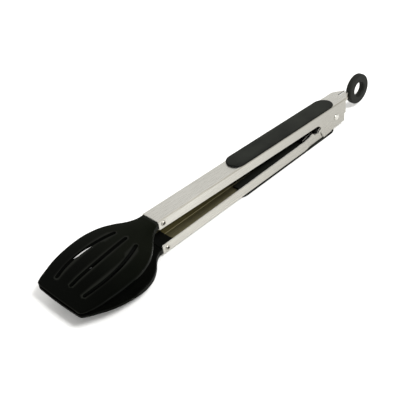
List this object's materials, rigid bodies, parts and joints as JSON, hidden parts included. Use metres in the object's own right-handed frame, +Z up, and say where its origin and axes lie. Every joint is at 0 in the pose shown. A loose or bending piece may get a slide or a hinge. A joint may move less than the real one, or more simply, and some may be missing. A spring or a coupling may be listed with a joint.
{
  "type": "kitchen tongs",
  "caption": "Spring loaded kitchen tongs with steel channel arms, soft grips, slotted turner heads and a pull ring lock.",
  "frame": {"origin": "centre of the bounding box in plan, on the surface the tongs lie on", "axes": "+X along the tongs from the heads to the hang ring, +Y across them along the hinge pin, +Z up from the lower arm to the upper arm"},
  "size_m": [0.341, 0.0646, 0.0329],
  "materials": {
    "stainless_steel": "brushed stainless sheet, lengthwise grain",
    "dark_steel": "dull steel",
    "spring_wire": "drawn spring wire",
    "soft_rubber": "matte soft-touch",
    "black_nylon": "satin moulded nylon",
    "ring_plastic": "matte moulded plastic"
  },
  "bodies": {
    "lower_side": {"lower_arm": "stainless_steel", "lower_grip": "soft_rubber", "lower_grip_carrier": "black_nylon", "lower_head": "black_nylon", "lower_head_rivet": "dark_steel", "hinge_pin": "stainless_steel", "hinge_washer": "stainless_steel", "spring_sleeve_near": "black_nylon", "spring_sleeve_far": "black_nylon", "thrust_washer_near": "black_nylon", "thrust_washer_far": "black_nylon", "torsion_spring_near": "spring_wire", "torsion_spring_far": "spring_wire"},
    "upper_side": {"upper_arm": "stainless_steel", "upper_grip": "soft_rubber", "upper_grip_carrier": "black_nylon", "upper_head": "black_nylon", "upper_head_rivet": "dark_steel"},
    "lock": {"lock_strip": "stainless_steel", "lock_bar": "dark_steel", "hang_ring": "ring_plastic"}
  },
  "joints": [
    {"name": "arm_hinge", "type": "hinge", "parent": "lower_side", "child": "upper_side", "pos_m": [0.11698, 0, 0.0128], "axis": [0, 1, 0], "range_deg": [0, 22], "deforming": ["torsion_spring_near", "torsion_spring_far"]},
    {"name": "lock_slide", "type": "slide", "parent": "lower_side", "child": "lock", "axis": [0.9997, 0, -0.0256], "range_m": [0, 0.0042]}
  ]
}
